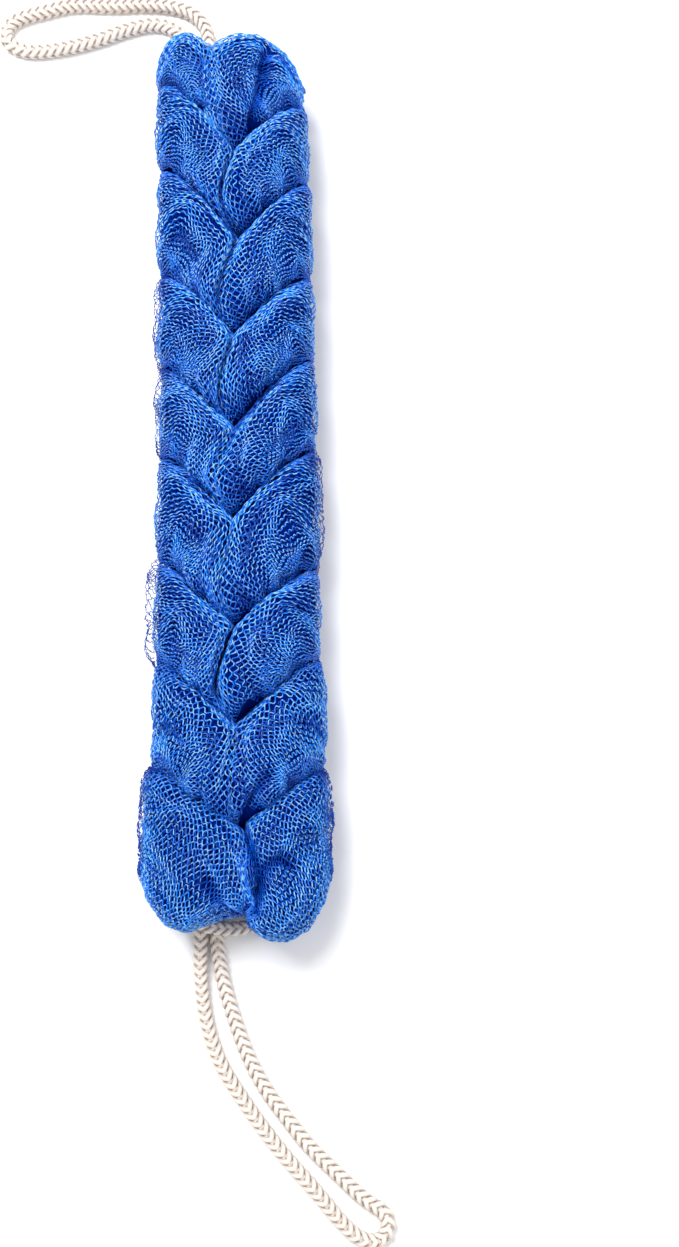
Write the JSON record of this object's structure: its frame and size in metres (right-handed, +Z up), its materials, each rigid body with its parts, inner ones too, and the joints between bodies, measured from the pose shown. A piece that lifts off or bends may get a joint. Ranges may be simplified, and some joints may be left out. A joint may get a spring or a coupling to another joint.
{
  "type": "mesh back scrubber",
  "caption": "Long back scrubber of knitted netting worked into a chain of V-shaped stitches, with a braided rope loop at each end to pull it by.",
  "frame": {"origin": "on the ground under the middle of the netting's box, with the scrubber lying flat", "axes": "+Y along the scrubber towards the end whose loop lies to one side, +Z up off the ground, +X across"},
  "size_m": [0.2054, 0.6308, 0.0545],
  "materials": {
    "netting": "knitted polyethylene netting, royal blue, satin strands",
    "rope": "round braided cotton-look rope, off-white"
  },
  "bodies": {
    "stitch_1": {"net_arm_left_1": "netting", "net_arm_right_1": "netting"},
    "stitch_2": {"net_arm_left_2": "netting", "net_arm_right_2": "netting"},
    "stitch_3": {"net_arm_left_3": "netting", "net_arm_right_3": "netting"},
    "stitch_4": {"net_arm_left_4": "netting", "net_arm_right_4": "netting"},
    "stitch_5": {"net_arm_left_5": "netting", "net_arm_right_5": "netting"},
    "stitch_6": {"net_arm_left_6": "netting", "net_arm_right_6": "netting"},
    "stitch_7": {"net_arm_left_7": "netting", "net_arm_right_7": "netting"},
    "stitch_8": {"net_arm_left_8": "netting", "net_arm_right_8": "netting"},
    "stitch_9": {"net_arm_left_9": "netting", "net_arm_right_9": "netting", "rope_wrap_bottom": "rope"},
    "top_loop": {"rope_loop_top": "rope", "rope_knot_top": "rope"},
    "bottom_loop": {"rope_loop_bottom": "rope", "rope_knot_bottom": "rope"}
  },
  "joints": [
    {"name": "bend_4_5", "type": "hinge", "parent": "stitch_5", "child": "stitch_4", "pos_m": [0, 0.028, 0.027], "axis": [1, 0, 0], "range_deg": [-15, 15]},
    {"name": "bend_3_4", "type": "hinge", "parent": "stitch_4", "child": "stitch_3", "pos_m": [0, 0.076, 0.027], "axis": [1, 0, 0], "range_deg": [-15, 15]},
    {"name": "bend_2_3", "type": "hinge", "parent": "stitch_3", "child": "stitch_2", "pos_m": [0, 0.126, 0.027], "axis": [1, 0, 0], "range_deg": [-15, 15]},
    {"name": "bend_1_2", "type": "hinge", "parent": "stitch_2", "child": "stitch_1", "pos_m": [0, 0.171, 0.027], "axis": [1, 0, 0], "range_deg": [-15, 15]},
    {"name": "bend_5_6", "type": "hinge", "parent": "stitch_5", "child": "stitch_6", "pos_m": [0, -0.016, 0.027], "axis": [-1, 0, 0], "range_deg": [-15, 15]},
    {"name": "bend_6_7", "type": "hinge", "parent": "stitch_6", "child": "stitch_7", "pos_m": [0, -0.069, 0.027], "axis": [-1, 0, 0], "range_deg": [-15, 15]},
    {"name": "bend_7_8", "type": "hinge", "parent": "stitch_7", "child": "stitch_8", "pos_m": [0, -0.116, 0.027], "axis": [-1, 0, 0], "range_deg": [-15, 15]},
    {"name": "bend_8_9", "type": "hinge", "parent": "stitch_8", "child": "stitch_9", "pos_m": [0, -0.165, 0.027], "axis": [-1, 0, 0], "range_deg": [-15, 15]},
    {"name": "top_loop_swing", "type": "hinge", "parent": "stitch_1", "child": "top_loop", "pos_m": [-0.022, 0.217, 0.008], "axis": [0, 0, 1], "range_deg": [-75, 0]},
    {"name": "bottom_loop_swing", "type": "hinge", "parent": "stitch_9", "child": "bottom_loop", "pos_m": [-0.013, -0.211, 0.008], "axis": [0, 0, 1], "range_deg": [-60, 45]}
  ]
}
